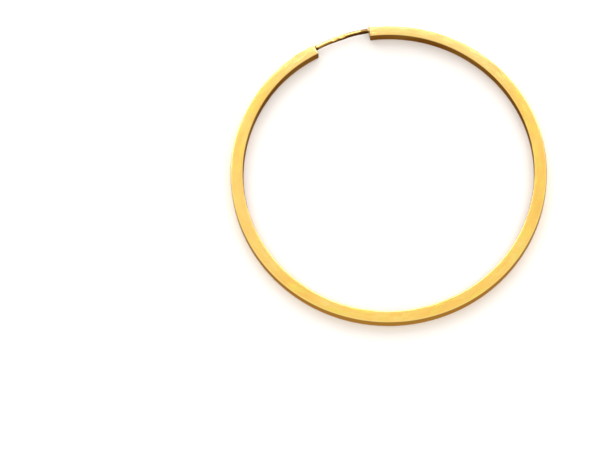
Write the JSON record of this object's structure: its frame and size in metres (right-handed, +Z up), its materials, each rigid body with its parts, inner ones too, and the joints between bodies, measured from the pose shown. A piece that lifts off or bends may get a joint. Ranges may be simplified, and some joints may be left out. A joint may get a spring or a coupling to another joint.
{
  "type": "hoop earring",
  "caption": "Plain endless hoop earring of square gold-coloured tube, closed at the gap by a thin round ear wire.",
  "frame": {"origin": "centre of the hoop's circle, on the surface that the hoop lies on", "axes": "+Z up, along the hoop's axis, so the hoop lies on its side; +Y towards the middle of the gap and the ear wire; +X towards the closed end of the tube, where the wire is fixed"},
  "size_m": [0.05, 0.0496, 0.002],
  "materials": {
    "tube_gold": "yellow gold, polished by hand to a soft shine, with fine marks along the tube",
    "wire_gold": "yellow gold wire, drawn and polished bright, pressed flat at two plier marks"
  },
  "bodies": {
    "root": {"hoop_tube": "tube_gold", "ear_wire": "wire_gold"}
  },
  "joints": []
}
